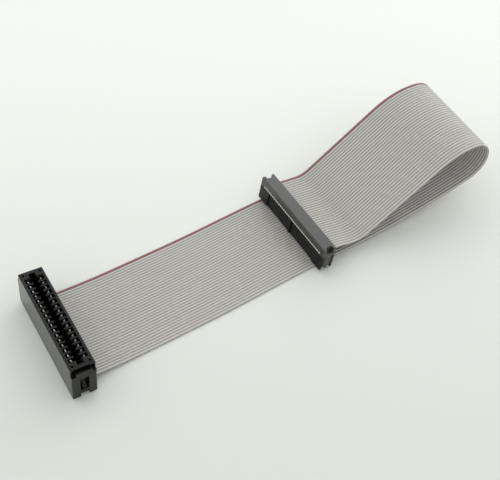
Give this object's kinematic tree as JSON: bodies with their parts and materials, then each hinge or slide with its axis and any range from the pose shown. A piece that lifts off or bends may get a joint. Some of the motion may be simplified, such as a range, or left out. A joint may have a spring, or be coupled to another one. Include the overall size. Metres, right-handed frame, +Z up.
{
  "type": "ribbon cable",
  "caption": "Flat grey ribbon cable with a card-edge connector at one end and a two-row press-on socket at the other, laid out with one loop.",
  "frame": {"origin": "on the surface that the cable lies on, midway along the outer sides of its two connectors and midway across the ribbon", "axes": "+X runs along the ribbon from the card-edge connector towards the loop, +Y points to the ribbon's red edge, +Z is up"},
  "size_m": [0.2002, 0.0524, 0.0333],
  "materials": {
    "black_plastic": "moulded glass-filled polyester, satin black with a fine grain",
    "contact_tin": "tin-plated phosphor bronze strip, bright",
    "ribbon_vinyl": "grey vinyl insulation, semi-matte, with one edge coloured red",
    "tinned_copper": "tinned copper strand, cut ends bright"
  },
  "bodies": {
    "root": {"edge_connector_body": "black_plastic", "edge_connector_cover": "black_plastic", "edge_contacts_row_a": "contact_tin", "edge_contacts_row_b": "contact_tin", "socket_body": "black_plastic", "socket_cover": "black_plastic", "socket_contacts_row_a": "contact_tin", "socket_contacts_row_b": "contact_tin", "ribbon_insulation": "ribbon_vinyl", "conductor_01": "tinned_copper", "conductor_02": "tinned_copper", "conductor_03": "tinned_copper", "conductor_04": "tinned_copper", "conductor_05": "tinned_copper", "conductor_06": "tinned_copper", "conductor_07": "tinned_copper", "conductor_08": "tinned_copper", "conductor_09": "tinned_copper", "conductor_10": "tinned_copper", "conductor_11": "tinned_copper", "conductor_12": "tinned_copper", "conductor_13": "tinned_copper", "conductor_14": "tinned_copper", "conductor_15": "tinned_copper", "conductor_16": "tinned_copper", "conductor_17": "tinned_copper", "conductor_18": "tinned_copper", "conductor_19": "tinned_copper", "conductor_20": "tinned_copper", "conductor_21": "tinned_copper", "conductor_22": "tinned_copper", "conductor_23": "tinned_copper", "conductor_24": "tinned_copper", "conductor_25": "tinned_copper", "conductor_26": "tinned_copper", "conductor_27": "tinned_copper", "conductor_28": "tinned_copper", "conductor_29": "tinned_copper", "conductor_30": "tinned_copper", "conductor_31": "tinned_copper", "conductor_32": "tinned_copper", "conductor_33": "tinned_copper", "conductor_34": "tinned_copper"}
  },
  "joints": []
}
